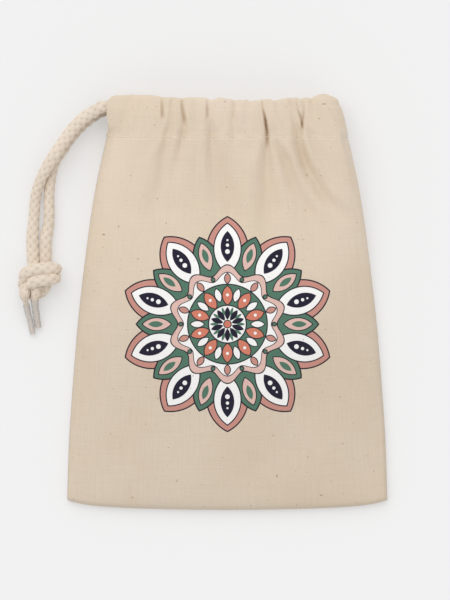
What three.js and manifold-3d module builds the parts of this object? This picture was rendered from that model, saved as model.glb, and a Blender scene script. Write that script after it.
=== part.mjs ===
// Cotton gift bag lying on its back: a pouch gathered by a drawstring that is knotted at its left.
// Sizes are in millimetres. X runs to the right, Y towards the mouth and Z up from the surface.

import * as THREE from "three";
import { mergeVertices } from "three/addons/utils/BufferGeometryUtils.js";
import Module from "manifold-3d";

const wasm = await Module();
wasm.setup();

// Driving sizes
const bottomWidth = 160; // across the bottom corners
const mouthWidth = 120.4; // across the hem's stitch line, as gathered
const pouchLength = 181; // from the bottom corners to the stitch line
const bottomBow = 5; // how far the middle of the bottom reaches past its corners
const hemDepth = 22.15; // from the stitch line to the highest stretch of the top fold
const clothWall = 1;
const clearance = 0.3; // between pieces that touch
const restLift = 0.3; // how far the cloth's edges stand off the surface, round the part it lies on
const restInset = 18; // from a bottom corner inwards to the part it lies on
const restLowEnd = 11; // from the bottom corners up to it
const restTopEnd = 6; // from it up to the stitch line
const restTip = 3; // half its width at its upper end
const mouthGap = 6.2; // open height between the two casings
const mouthShoulder = 0.22; // share of the casing, at each end, over which the mouth opens
const slitGap = 0.8; // what stays of it at the open left ends of the casings
const turnGap = 3; // what stays of it where the casing turns round the right side
const foldDepth = 1.6; // of the deepest fold below the stitch line
const pleatRise = 0.8; // how far the gathered casing stands above its pleats
const creaseWidth = 2; // half width of a pleat at the stitch line
const foldSpread = 5; // how much wider a fold is where it dies out
const cordDiameter = 5.6;
const tunnelSlack = 0.5; // room round the cord in its casing
const tipDiameterA = 3.2; // taped end of the upper strand
const tipDiameterB = 2.7; // taped end of the lower strand
const tailDiameter = 3.6; // cord squeezed towards its taped end

const clothLook = { color: 0xdccbb4, roughness: 0.95, metalness: 0 };
const cordLook = { color: 0xe0d2c0, roughness: 0.9, metalness: 0 };
const tapeLook = { color: 0xbdb6b0, roughness: 0.25, metalness: 0 };

// Half the width below the stitch line: 0 is the mouth's, 1 the bottom's. Up runs from the bottom.
const flareTable = [
  { up: 0, flare: 1 },
  { up: 0.17, flare: 0.95 },
  { up: 0.33, flare: 0.85 },
  { up: 0.5, flare: 0.72 },
  { up: 0.66, flare: 0.55 },
  { up: 0.83, flare: 0.33 },
  { up: 0.94, flare: 0.13 },
  { up: 1, flare: 0 },
];

// Height of the front panel's crown over its edges, as a share of its height at the stitch line.
const crownTable = [
  { up: 0, rise: 0 },
  { up: 0.02, rise: 0.14 },
  { up: 0.06, rise: 0.28 },
  { up: 0.13, rise: 0.4 },
  { up: 0.25, rise: 0.55 },
  { up: 0.45, rise: 0.75 },
  { up: 0.65, rise: 0.9 },
  { up: 0.85, rise: 1 },
  { up: 1, rise: 1 },
];

// Top fold from the left (0) to the start of the right turn (1), as a share of the hem's depth.
const topFoldTable = [
  { along: 0, height: 0.955 },
  { along: 0.1, height: 0.99 },
  { along: 0.2, height: 0.97 },
  { along: 0.24, height: 0.925 },
  { along: 0.33, height: 0.935 },
  { along: 0.43, height: 0.89 },
  { along: 0.48, height: 0.92 },
  { along: 0.54, height: 0.84 },
  { along: 0.63, height: 0.84 },
  { along: 0.69, height: 0.86 },
  { along: 0.77, height: 0.9 },
  { along: 0.84, height: 0.86 },
  { along: 0.88, height: 0.88 },
  { along: 0.92, height: 1 },
  { along: 1, height: 0.99 },
];

// Depth of the cord below the highest top fold, as a share of the hem's depth.
const cordPlaceTable = [
  { along: 0, depth: 0.31 },
  { along: 0.2, depth: 0.38 },
  { along: 0.8, depth: 0.38 },
  { along: 1, depth: 0.35 },
];

// Side outline of the casing, as shares of half the mouth's width.
const casingSideTable = [
  { place: 0, left: 0.957, right: 0.83 },
  { place: 0.2, left: 0.975, right: 0.888 },
  { place: 0.8, left: 0.999, right: 0.935 },
  { place: 1.3, left: 1, right: 0.971 },
  { place: 2, left: 0.99, right: 1 },
];

// Half section of a casing. A place of 0 is the top fold, 1 the cord and 2 the stitch line.
const casingTable = [
  { place: 0, swell: 0, innerPlace: 0.16, innerSwell: 0 },
  { place: 0.06, swell: 0.34, innerPlace: 0.24, innerSwell: 0.42 },
  { place: 0.28, swell: 0.64, innerPlace: 0.4, innerSwell: 0.7 },
  { place: 0.6, swell: 0.88, innerPlace: 0.65, innerSwell: 0.9 },
  { place: 1, swell: 1, innerPlace: 1, innerSwell: 1 },
  { place: 1.27, swell: 0.82, innerPlace: 1.24, innerSwell: 0.86 },
  { place: 1.59, swell: 0.43, innerPlace: 1.5, innerSwell: 0.52 },
  { place: 2, swell: 0, innerPlace: 1.74, innerSwell: 0.14 },
];
const innerEndPlace = 1.82; // where the cord's tunnel closes above the stitch line

// Pleats of the front: at and drift are shares of half the mouth's width, reach of the pouch's
// length, and depth of the full fold depth.
const pleatTable = [
  { at: -0.51, drift: -0.14, reach: 0.45, depth: 0.6 },
  { at: -0.375, drift: -0.2, reach: 0.45, depth: 0.7 },
  { at: -0.135, drift: 0.07, reach: 0.6, depth: 0.75 },
  { at: 0.056, drift: 0, reach: 0.2, depth: 0.4 },
  { at: 0.33, drift: -0.06, reach: 0.6, depth: 1 },
  { at: 0.605, drift: 0.33, reach: 0.75, depth: 0.9 },
];

// Routes of the two strands from the casing to the knot, with the knot and the tails after them.
const strandPointsA = [
  [-59.8, 97.3, 14],
  [-61.8, 97.3, 13.9],
  [-65.5, 96, 13.3],
  [-71.5, 91.6, 11.6],
  [-77, 85.7, 10.1],
  [-82.1, 78.9, 9.3],
  [-86.1, 73.1, 9.1],
  [-89.6, 67.7, 8.6],
  [-92.4, 62.5, 7.3],
  [-94.8, 56.3, 5],
  [-95.9, 51, 3.5],
  [-96.5, 43.9, 3.2],
  [-96.9, 39, 3.2],
  [-97.7, 32.9, 3.2],
  [-97.9, 28.4, 3.2],
  [-97.5, 24.5, 3.2],
  [-97.2, 21.7, 3.2],
];
const strandPointsB = [
  [-59.8, 97.2, 4.6],
  [-61.8, 97, 4.5],
  [-65.5, 94.4, 3.7],
  [-71.7, 90.3, 3.3],
  [-75.9, 86, 3.2],
  [-79.7, 81.4, 3.2],
  [-83.2, 75.9, 3.2],
  [-85.8, 71.6, 3.2],
  [-87.4, 67, 3.2],
  [-88.4, 60.4, 3.2],
  [-89.1, 52.9, 3.2],
  [-89, 43.9, 3.2],
  [-89.2, 38.4, 3.2],
  [-89.6, 32.9, 3.2],
  [-90.1, 29.4, 3.2],
  [-90.3, 24.9, 3.2],
  [-90.6, 21.7, 3.2],
];
const knotCentre = [-93.6, 11.4, 0.3];

// The pair of strands through the knot, from its centre, with half the step between the strands.
const knotPairPoints = [
  { middle: [-0.3, 9.8, 2.9], half: [3.3, 0, 0] },
  { middle: [-0.3, 8, 3.1], half: [3.1, 0, 0] },
  { middle: [0, 4.8, 5], half: [2.8, 0, 0.2] },
  { middle: [0.7, 0.4, 6.8], half: [2.6, -0.3, 0.2] },
  { middle: [1, -4.2, 5.2], half: [2.2, -1.3, 0] },
  { middle: [-1.6, -6.4, 3.4], half: [0.4, -2.5, -0.4] },
  { middle: [-5.2, -6.2, 3.4], half: [-1.4, -2.2, -0.4] },
  { middle: [-7.8, -3.4, 5.8], half: [-2.5, -0.4, -0.6] },
  { middle: [-7.4, -0.4, 9.4], half: [-1.5, 2.7, 0] },
  { middle: [-3.4, 1.5, 11.8], half: [-0.9, 2.8, 0] },
  { middle: [1.5, 2.6, 12.2], half: [-0.7, 2.8, 0] },
  { middle: [6, 3.1, 10.4], half: [-0.3, 2.7, 0.2] },
  { middle: [8, 3, 6.6], half: [0.2, 2.7, 0] },
  { middle: [5, 2, 3.4], half: [0.2, 2.6, 0] },
  { middle: [0.8, 0.4, 3.4], half: [-0.6, 2.4, 0] },
  { middle: [-3, -2.4, 6], half: [-2, 1.4, 0] },
  { middle: [-4.8, -5, 7.7], half: [-2.9, -0.3, 0] },
  { middle: [-4.9, -6.4, 7.9], half: [-2.9, 0, 0] },
];
const knotCoreMiddle = [-0.4, -0.6, 6.6];
const knotCoreReach = [7.5, 6.2, 5];
const tailPointsA = [
  [-95.6, 4.6, 8.2],
  [-96, 2.4, 8],
  [-96.2, -0.2, 7.1],
];
const tailPointsB = [
  [-101.4, 4.6, 9.1],
  [-101.3, 1.8, 8.7],
  [-100.7, -0.9, 7],
];
const tipPointsA = [
  [-96.2, -0.7, 6.9],
  [-95.4, -6.6, 4.5],
  [-94.5, -12.9, 2.2],
];
const tipPointsB = [
  [-100.5, -1.5, 6.6],
  [-98.6, -9, 3.5],
  [-97.1, -16.2, 1.8],
];

// Worked out from the driving sizes
const bottomY = -(bottomBow + pouchLength + hemDepth) / 2;
const cornerY = bottomY + bottomBow;
const stitchY = cornerY + pouchLength;
const topY = stitchY + hemDepth;
const halfMouth = mouthWidth / 2;
const tunnelHalf = cordDiameter / 2 + tunnelSlack;
const casingHalf = tunnelHalf + clothWall;
const stitchHalf = clothWall + clearance / 2;
const openLevel = restLift + 2 * casingHalf + mouthGap;
const edgeHeight = restLift + 2 * clothWall + clearance;
const crownHeight = openLevel + 2 * stitchHalf;

function mix(low, high, share) {
  return low + (high - low) * share;
}

function smoothStep(low, high, value) {
  const share = Math.min(1, Math.max(0, (value - low) / (high - low)));
  return share * share * (3 - 2 * share);
}

// Value of one column where another column has the given value
function readTable(table, key, column, at) {
  const after = table.findIndex((row) => row[key] >= at);
  if (after === 0) {
    return table[0][column];
  }
  if (after < 0) {
    return table[table.length - 1][column];
  }
  const low = table[after - 1];
  const high = table[after];
  return mix(low[column], high[column], (at - low[key]) / (high[key] - low[key]));
}

// Closed body through rings of points that all have the same number of points. Rings that
// list an inner ring as well make a tube with that inner ring as its bore.
function loft(rings, bores) {
  const count = rings[0].length;
  const points = [...rings.flat(), ...(bores ? bores.flat() : [])];
  const boreStart = rings.length * count;
  const index = [];
  const quad = (a, b, c, d) => index.push(a, b, c, a, c, d);
  for (let ring = 0; ring + 1 < rings.length; ring += 1) {
    for (let side = 0; side < count; side += 1) {
      const next = (side + 1) % count;
      const here = ring * count;
      const there = here + count;
      quad(here + side, here + next, there + next, there + side);
      if (bores) {
        const near = boreStart + here;
        const far = boreStart + there;
        quad(near + next, near + side, far + side, far + next);
      }
    }
  }
  const last = (rings.length - 1) * count;
  for (let side = 0; side < count && bores; side += 1) {
    const next = (side + 1) % count;
    quad(next, side, boreStart + side, boreStart + next);
    quad(last + side, last + next, boreStart + last + next, boreStart + last + side);
  }
  const geometry = new THREE.BufferGeometry();
  geometry.setAttribute("position", new THREE.Float32BufferAttribute(points.flat(), 3));
  geometry.setIndex(index);
  return geometry;
}

// Closed sheet between an upper and a lower grid of points, listed row by row
function sheetBody(upper, lower) {
  const rows = upper.length;
  const columns = upper[0].length;
  const points = [...upper.flat(), ...lower.flat()];
  const below = rows * columns;
  const index = [];
  const quad = (a, b, c, d) => index.push(a, b, c, a, c, d);
  for (let row = 0; row + 1 < rows; row += 1) {
    for (let column = 0; column + 1 < columns; column += 1) {
      const here = row * columns + column;
      const up = here + columns;
      quad(here, here + 1, up + 1, up);
      quad(below + here, below + up, below + up + 1, below + here + 1);
    }
  }
  const last = (rows - 1) * columns;
  for (let column = 0; column + 1 < columns; column += 1) {
    quad(column, below + column, below + column + 1, column + 1);
    quad(last + column, last + column + 1, below + last + column + 1, below + last + column);
  }
  for (let row = 0; row + 1 < rows; row += 1) {
    const left = row * columns;
    const right = left + columns - 1;
    quad(left, left + columns, below + left + columns, below + left);
    quad(right, below + right, below + right + columns, right + columns);
  }
  const geometry = new THREE.BufferGeometry();
  geometry.setAttribute("position", new THREE.Float32BufferAttribute(points.flat(), 3));
  geometry.setIndex(index);
  return geometry;
}

function tube(points, diameter, sides, steps) {
  const section = new THREE.Shape();
  for (let side = 0; side < sides; side += 1) {
    const angle = (2 * Math.PI * side) / sides;
    const across = (Math.cos(angle) * diameter) / 2;
    const up = (Math.sin(angle) * diameter) / 2;
    if (side === 0) {
      section.moveTo(across, up);
    } else {
      section.lineTo(across, up);
    }
  }
  section.closePath();
  const route = new THREE.CatmullRomCurve3(points.map((point) => new THREE.Vector3(...point)));
  return new THREE.ExtrudeGeometry(section, { extrudePath: route, steps, bevelEnabled: false });
}

function solidOf(geometry) {
  const bare = geometry.clone();
  bare.deleteAttribute("normal");
  bare.deleteAttribute("uv");
  const merged = mergeVertices(bare, 1e-4);
  const mesh = new wasm.Mesh({
    numProp: 3,
    vertProperties: new Float32Array(merged.attributes.position.array),
    triVerts: new Uint32Array(merged.index.array),
  });
  return new wasm.Manifold(mesh);
}

function geometryOf(solid) {
  const mesh = solid.getMesh();
  const geometry = new THREE.BufferGeometry();
  geometry.setAttribute("position", new THREE.Float32BufferAttribute(mesh.vertProperties, 3));
  geometry.setIndex(Array.from(mesh.triVerts));
  return geometry;
}

// Half the thickness of a casing's outer form
function outerHalf(place) {
  const swell = readTable(casingTable, "place", "swell", place);
  return place <= 1 ? swell * casingHalf : mix(stitchHalf, casingHalf, swell);
}

function casingLeft(place) {
  return -readTable(casingSideTable, "place", "left", place) * halfMouth;
}

// Half the room a casing takes: past the cord its lower face follows its upper face
function seatHalf(place) {
  return place <= 1 ? casingHalf : outerHalf(place);
}

// Where the casing's right turn starts
function casingRight(place) {
  const outline = readTable(casingSideTable, "place", "right", place) * halfMouth;
  return outline - turnGap / 2 - seatHalf(place) - outerHalf(place);
}

function casingX(along, place) {
  const straight = mix(casingLeft(2), casingRight(2), along);
  const leftShift = (casingLeft(place) - casingLeft(2)) * (1 - along) ** 3;
  const rightShift = (casingRight(place) - casingRight(2)) * along ** 3;
  return straight + leftShift + rightShift;
}

function casingY(along, place) {
  const fold = 1 - readTable(topFoldTable, "along", "height", along);
  const cord = readTable(cordPlaceTable, "along", "depth", along);
  const depth = place <= 1 ? mix(fold, cord, place) : mix(cord, 1, place - 1);
  return topY - depth * hemDepth;
}

// How far along the casing a point of the stitch line lies
function alongStitch(x) {
  const share = (x - casingLeft(2)) / (casingRight(2) - casingLeft(2));
  return Math.min(1, Math.max(0, share));
}

// Height of the middle of the front casing's section: closed at both ends, open between them
function frontMiddle(along, place) {
  const closed = restLift + 2 * seatHalf(place) + mix(slitGap, turnGap, along);
  const open = smoothStep(0, mouthShoulder, along) * smoothStep(0, mouthShoulder, 1 - along);
  return mix(closed, openLevel, open) + seatHalf(place);
}

// Share of the full height that the gathered cloth keeps at a point below the stitch line
function gatherShare(x, below) {
  let hollow = 0;
  for (const pleat of pleatTable) {
    const run = Math.min(1, Math.max(0, below / (pleat.reach * pouchLength)));
    const middle = (pleat.at + pleat.drift * run) * halfMouth;
    const width = creaseWidth + foldSpread * run;
    const depth = pleat.depth * (1 - run) ** 1.2;
    hollow = Math.max(hollow, depth * Math.exp(-(((x - middle) / width) ** 2)));
  }
  const side = 1 - Math.min(1, Math.abs(x) / halfMouth) ** 8;
  return (1 - hollow) * side;
}

function casingRaise(along, place, upperSide) {
  const share = gatherShare(mix(casingLeft(2), casingRight(2), along), 0);
  const above = pleatRise * Math.min(1, place) + (foldDepth - pleatRise) * Math.max(0, place - 1);
  const below = foldDepth * Math.max(0, place - 1) ** 2;
  return share * (upperSide ? above : below);
}

// Stations along the casing: even steps, with one at each pleat and one at each side of it
function casingStations(evenSteps, withPleats) {
  const stations = [];
  for (let step = 0; step <= evenSteps; step += 1) {
    stations.push(step / evenSteps);
  }
  for (const pleat of withPleats ? pleatTable : []) {
    for (const side of [-1, 0, 1]) {
      stations.push(alongStitch(pleat.at * halfMouth + side * creaseWidth));
    }
  }
  stations.sort((low, high) => low - high);
  const closest = 0.35 * (creaseWidth / mouthWidth);
  return stations.filter((at, order) => order === 0 || at - stations[order - 1] > closest);
}

// The places and half heights of a casing's outer or inner ring, up one side and down the other
function casingRing(inner) {
  const placeName = inner ? "innerPlace" : "place";
  const swellName = inner ? "innerSwell" : "swell";
  const halfAt = (row) => (inner ? row[swellName] * tunnelHalf : outerHalf(row[placeName]));
  const side = casingTable.map((row) => ({ place: row[placeName], half: halfAt(row) }));
  const end = { place: inner ? innerEndPlace : 2, half: 0 };
  const back = side.slice(1).reverse();
  return [...side, end, ...back.map((row) => ({ place: row.place, half: -row.half }))];
}

function frontCasingPoint(along, row) {
  const raise = casingRaise(along, row.place, row.half > 0);
  const height = frontMiddle(along, row.place) + row.half + raise;
  return [casingX(along, row.place), casingY(along, row.place), height];
}

// Where a casing turns round the right side, from straight up (or down) at 0 to the seam at 1
function turnPoint(turn, row, upwards) {
  const angle = ((1 - turn) * Math.PI) / 2;
  const centreZ = restLift + 2 * seatHalf(row.place) + turnGap / 2;
  const reach = turnGap / 2 + seatHalf(row.place) + row.half;
  const half = clearance / 2;
  const x = casingRight(row.place) + reach * Math.cos(angle);
  const rise = half + (reach - half) * Math.sin(angle);
  return [x, casingY(1, row.place), centreZ + (upwards ? rise : -rise)];
}

function backCasingPoint(along, row) {
  const height = restLift + seatHalf(row.place) - row.half;
  return [casingX(along, row.place), casingY(along, row.place), height];
}

const turnSteps = 4;

function casingGeometry(stations, pointAt, upwards) {
  const ordered = (rows) => (upwards ? rows : rows.reverse());
  const outerRow = ordered(casingRing(false));
  const innerRow = ordered(casingRing(true));
  const ringAt = (rows, at) => rows.map((row) => pointAt(at, row));
  const turnAt = (rows, turn) => rows.map((row) => turnPoint(turn, row, upwards));
  const outer = stations.map((at) => ringAt(outerRow, at));
  const inner = stations.map((at) => ringAt(innerRow, at));
  for (let step = 1; step <= turnSteps; step += 1) {
    outer.push(turnAt(outerRow, step / turnSteps));
    inner.push(turnAt(innerRow, step / turnSteps));
  }
  return loft(outer, inner);
}

function panelHalf(up) {
  return mix(halfMouth, bottomWidth / 2, readTable(flareTable, "up", "flare", up));
}

function panelY(across, up) {
  const bow = bottomBow * (1 - 0.5 * across ** 2 - 0.5 * Math.abs(across) ** 10);
  return mix(cornerY - bow, stitchY - clearance, up);
}

// Top of the front panel. Across runs from -1 at the left seam to 1 at the right seam.
function frontHeight(across, up) {
  const below = (1 - up) * pouchLength;
  const along = alongStitch(across * halfMouth);
  const seam = smoothStep(0.9, 1, Math.abs(across));
  const stitchTop = mix(frontMiddle(along, 2) + stitchHalf, edgeHeight, seam);
  const dome = 1 - Math.abs(across) ** mix(3, 8, up ** 3);
  const rise = readTable(crownTable, "up", "rise", up);
  const bodyTop = edgeHeight + (crownHeight - edgeHeight) * rise * dome;
  const fade = up ** 2 * (1 - Math.abs(across) ** 8);
  const folds = foldDepth * gatherShare(across * panelHalf(up), below) * fade;
  return mix(bodyTop, stitchTop, smoothStep(0.86, 1, up)) + folds;
}

const panelRows = [0, 0.02, 0.06, 0.13, 0.22, 0.32, 0.43, 0.54, 0.64, 0.73, 0.81, 0.88, 0.94, 1];

function frontPanelGeometry() {
  const leftX = casingLeft(2);
  const rightX = casingRight(2);
  const stations = casingStations(18, true).map((along) => mix(leftX, rightX, along) / halfMouth);
  const columns = [-1, ...stations.slice(1), 1];
  const grid = (drop) =>
    panelRows.map((up) =>
      columns.map((across) => [across * panelHalf(up), panelY(across, up), frontHeight(across, up) - drop]),
    );
  return sheetBody(grid(0), grid(clothWall));
}

// A point of the flat part that the bag lies on, narrow towards the mouth so that it can't rock.
// Its sides are hollowed a little, so that only its ends bear.
function restPoint(across, up) {
  const half = mix(bottomWidth / 2 - restInset, restTip, up) - 6 * up * (1 - up);
  const hollow = (1 - across ** 2) * mix(3, -0.5, up);
  return [across * half, mix(cornerY + restLowEnd, stitchY - restTopEnd, up) + hollow, 0];
}

function backPanelGeometry() {
  const columns = Array.from({ length: 13 }, (_, step) => -1 + step / 6);
  const edgePoint = (across, up, height) => [across * panelHalf(up), panelY(across, up), height];
  const last = { row: panelRows.length - 1, column: columns.length - 1 };
  const upper = panelRows.map((up) => columns.map((across) => edgePoint(across, up, restLift + clothWall)));
  const lower = panelRows.map((up, row) =>
    columns.map((across, column) => {
      const atEdge = row === 0 || column === 0 || row === last.row || column === last.column;
      const restUp = (up - panelRows[1]) / (panelRows[last.row - 1] - panelRows[1]);
      return atEdge ? edgePoint(across, up, restLift) : restPoint(across / columns[last.column - 1], restUp);
    }),
  );
  return sheetBody(upper, lower);
}

// The cord inside the casing: along the front, round the right side and back along the rear
function drawstringPoints() {
  const cordRow = { place: 1, half: 0 };
  const front = [0.01, 0.03, 0.08, 0.14, 0.2, 0.35, 0.5, 0.65, 0.8, 0.86, 0.92, 0.97, 1];
  const rear = [1, 0.97, 0.8, 0.6, 0.4, 0.2, 0.08, 0.03, 0.01];
  const turns = [1 / 6, 2 / 6, 3 / 6, 4 / 6, 5 / 6];
  const centreZ = restLift + 2 * casingHalf + turnGap / 2;
  const reach = turnGap / 2 + casingHalf;
  const turnPoints = turns.map((turn) => {
    const angle = (0.5 - turn) * Math.PI;
    return [casingRight(1) + reach * Math.cos(angle), casingY(1, 1), centreZ + reach * Math.sin(angle)];
  });
  const frontPoints = front.map((along) => {
    return [casingX(along, 1), casingY(along, 1), frontMiddle(along, 1)];
  });
  const rearPoints = rear.map((along) => backCasingPoint(along, cordRow));
  return [...frontPoints, ...turnPoints, ...rearPoints];
}

// One strand's stretch of the knot, as overlapping lengths that are joined afterwards
function knotLengths(side) {
  const points = knotPairPoints.map(({ middle, half }) =>
    middle.map((value, axis) => knotCentre[axis] + value + side * half[axis]),
  );
  const curve = new THREE.CatmullRomCurve3(points.map((point) => new THREE.Vector3(...point)));
  const lengths = [];
  const pieces = 6;
  const stepsEach = 4;
  const all = pieces * stepsEach;
  for (let piece = 0; piece < pieces; piece += 1) {
    const first = piece * stepsEach;
    const last = Math.min(all, first + stepsEach + 1);
    const stretch = [];
    for (let step = first; step <= last; step += 1) {
      stretch.push(curve.getPoint(step / all).toArray());
    }
    lengths.push(solidOf(tube(stretch, cordDiameter, 8, stretch.length - 1)));
  }
  return lengths;
}

// The strands press together in the knot's middle, so a core closes what is left between them
function knotGeometry() {
  const core = new THREE.SphereGeometry(1, 12, 8);
  core.scale(...knotCoreReach);
  core.translate(...knotCentre.map((value, axis) => value + knotCoreMiddle[axis]));
  const lengths = [solidOf(core), ...knotLengths(-1), ...knotLengths(1)];
  return geometryOf(lengths.reduce((whole, length) => whole.add(length)));
}

const bag = new THREE.Group();

function addPiece(name, geometry, look) {
  const mesh = new THREE.Mesh(geometry, new THREE.MeshStandardMaterial(look));
  mesh.name = name;
  bag.add(mesh);
}

addPiece("front_panel", frontPanelGeometry(), clothLook);
addPiece("back_panel", backPanelGeometry(), clothLook);
addPiece("front_casing", casingGeometry(casingStations(18, true), frontCasingPoint, true), clothLook);
addPiece("back_casing", casingGeometry(casingStations(18, false), backCasingPoint, false), clothLook);
addPiece("drawstring_run", tube(drawstringPoints(), cordDiameter, 8, 72), cordLook);
addPiece("strand_a", tube(strandPointsA, cordDiameter, 8, 18), cordLook);
addPiece("strand_b", tube(strandPointsB, cordDiameter, 8, 18), cordLook);
addPiece("knot", knotGeometry(), cordLook);
addPiece("tail_a", tube(tailPointsA, tailDiameter, 8, 3), cordLook);
addPiece("tail_b", tube(tailPointsB, tailDiameter, 8, 3), cordLook);
addPiece("tip_a", tube(tipPointsA, tipDiameterA, 8, 5), tapeLook);
addPiece("tip_b", tube(tipPointsB, tipDiameterB, 8, 5), tapeLook);

export default bag;
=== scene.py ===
import math
import random

import bpy
import numpy as np
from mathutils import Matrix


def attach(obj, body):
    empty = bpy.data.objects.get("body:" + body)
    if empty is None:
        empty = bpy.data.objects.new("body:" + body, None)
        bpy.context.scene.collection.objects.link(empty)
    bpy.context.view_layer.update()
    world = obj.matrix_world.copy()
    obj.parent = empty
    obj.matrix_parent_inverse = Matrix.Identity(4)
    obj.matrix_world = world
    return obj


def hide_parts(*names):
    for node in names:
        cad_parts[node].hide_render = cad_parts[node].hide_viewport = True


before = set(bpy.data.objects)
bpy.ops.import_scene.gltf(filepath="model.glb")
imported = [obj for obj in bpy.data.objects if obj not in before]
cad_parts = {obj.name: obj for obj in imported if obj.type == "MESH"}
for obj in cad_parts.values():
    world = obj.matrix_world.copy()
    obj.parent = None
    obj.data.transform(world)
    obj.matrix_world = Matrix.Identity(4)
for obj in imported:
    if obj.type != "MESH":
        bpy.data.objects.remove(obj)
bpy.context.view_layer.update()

mm = 0.001
bpy.ops.object.select_all(action="DESELECT")


def smooth(low, high, value):
    share = np.clip((value - low) / (high - low), 0, 1)
    return share * share * (3 - 2 * share)


def mix(low, high, share):
    return low + (high - low) * share


def readCurve(table, at):
    # reads a smooth curve through the table's (place, value) points
    x, y = np.array(table, float).T
    slope = np.gradient(y, x)
    at = np.clip(at, x[0], x[-1])
    i = np.clip(np.searchsorted(x, at, side="right") - 1, 0, len(x) - 2)
    h = x[i + 1] - x[i]
    t = (at - x[i]) / h
    return (
        (2 * t**3 - 3 * t**2 + 1) * y[i]
        + (t**3 - 2 * t**2 + t) * h * slope[i]
        + (3 * t**2 - 2 * t**3) * y[i + 1]
        + (t**3 - t**2) * h * slope[i + 1]
    )


def smoothRoute(points, step, perSpan=40):
    # one smooth curve through the points, in even steps
    def blend(low, high, start, end):
        return ((high - t) * start + (t - low) * end) / (high - low)

    p = np.array(points, float)
    p = np.vstack([2 * p[0] - p[1], p, 2 * p[-1] - p[-2]])
    dense = []
    for i in range(1, len(p) - 2):
        a, b, c, d = p[i - 1:i + 3]
        t1 = np.linalg.norm(b - a) ** 0.5
        t2 = t1 + np.linalg.norm(c - b) ** 0.5
        t3 = t2 + np.linalg.norm(d - c) ** 0.5
        t = np.linspace(t1, t2, perSpan, endpoint=False)[:, None]
        bc = blend(t1, t2, b, c)
        abc = blend(0, t2, blend(0, t1, a, b), bc)
        dense.extend(blend(t1, t2, abc, blend(t1, t3, bc, blend(t2, t3, c, d))))
    dense.append(p[-2])
    dense = np.array(dense)
    run = runAlong(dense)
    count = max(2, round(run[-1] / step))
    at = np.linspace(0, run[-1], count + 1)
    return np.stack([np.interp(at, run, dense[:, axis]) for axis in range(3)], axis=1)


def runAlong(line):
    # the length from the line's start at each of its points
    return np.concatenate([[0], np.cumsum(np.linalg.norm(np.diff(line, axis=0), axis=1))])


def ease(line, rounds):
    # takes the kinks out of a line and leaves its ends
    line = line.copy()
    for _ in range(rounds):
        line[1:-1] = 0.25 * line[:-2] + 0.5 * line[1:-1] + 0.25 * line[2:]
    return line


def makeMesh(name, points, faces):
    mesh = bpy.data.meshes.new(name)
    mesh.from_pydata(np.asarray(points, float).tolist(), [], faces)
    mesh.polygons.foreach_set("use_smooth", [True] * len(mesh.polygons))
    piece = bpy.data.objects.new(name, mesh)
    bpy.context.scene.collection.objects.link(piece)
    return piece


def addAttribute(piece, name, values):
    attribute = piece.data.attributes.new(name, "FLOAT", "POINT")
    attribute.data.foreach_set("value", np.asarray(values, np.float32).ravel())


def addUv(piece, u, v):
    layer = piece.data.uv_layers.new(name="UVMap")
    corner = np.zeros(len(piece.data.loops), np.int32)
    piece.data.loops.foreach_get("vertex_index", corner)
    both = np.stack([np.ravel(u)[corner], np.ravel(v)[corner]], axis=1)
    layer.data.foreach_set("uv", both.astype(np.float32).ravel())


def gridFaces(rows, columns, up=True, closed=False):
    # quads over a grid of points; closed joins the last column to the first
    faces = []
    for row in range(rows - 1):
        start = row * columns
        for column in range(columns if closed else columns - 1):
            after = start + (column + 1) % columns
            quad = (start + column, after, after + columns, start + column + columns)
            faces.append(quad if up else quad[::-1])
    return faces


def pick(piece):
    bpy.ops.object.select_all(action="DESELECT")
    piece.select_set(True)
    bpy.context.view_layer.objects.active = piece


def faceOutward(piece):
    pick(piece)
    bpy.ops.object.mode_set(mode="EDIT")
    bpy.ops.mesh.select_all(action="SELECT")
    bpy.ops.mesh.normals_make_consistent(inside=False)
    bpy.ops.object.mode_set(mode="OBJECT")


# the camera looks straight down, as the photo does
cameraSettings = {
    "middle": (-1.125, 0.85),
    "height": 6000,  # far off with a long lens, so the view is nearly parallel
    "seenHeight": 300,
    "sensor": 36,
    "clipEnd": 10,  # in metres
}
bpy.ops.object.camera_add(
    location=[at * mm for at in (*cameraSettings["middle"], cameraSettings["height"])], rotation=(0, 0, 0))
camera = bpy.context.object
camera.name = "camera"
camera.data.sensor_fit = "VERTICAL"
camera.data.sensor_height = cameraSettings["sensor"]
camera.data.lens = cameraSettings["sensor"] * cameraSettings["height"] / cameraSettings["seenHeight"]
camera.data.clip_end = cameraSettings["clipEnd"]
bpy.context.scene.camera = camera
print("camera set")


current = {}  # the node tree that new nodes go into


def newMaterial(name):
    material = bpy.data.materials.new(name)
    material.use_nodes = True
    current["tree"] = material.node_tree
    return material, material.node_tree.nodes["Principled BSDF"]


def feed(node, inputs):
    # links a socket or sets a value at each input, by name or by number
    for key, value in inputs.items():
        if isinstance(value, bpy.types.NodeSocket):
            node.id_data.links.new(value, node.inputs[key])
        else:
            node.inputs[key].default_value = value


def addNode(kind, inputs=None, **settings):
    node = current["tree"].nodes.new("ShaderNode" + kind)
    for key, value in settings.items():
        setattr(node, key, value)
    feed(node, inputs or {})
    return node.outputs


def attributeOf(name):
    return addNode("Attribute", attribute_name=name)["Fac"]


def calc(operation, *values):
    return addNode("Math", dict(enumerate(values)), operation=operation)[0]


def total(first, *others):
    for other in others:
        first = calc("ADD", first, other)
    return first


def mixColour(share, low, high, blend="MIX"):
    return addNode("Mix", {0: share, 6: low, 7: high}, data_type="RGBA", blend_type=blend)[2]


def shaded(colour, tone):
    grey = addNode("CombineColor", {0: tone, 1: tone, 2: tone})[0]
    return mixColour(1.0, colour, grey, "MULTIPLY")


def stretched(vector, scale):
    return addNode("Mapping", {"Vector": vector, "Scale": scale})[0]


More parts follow.
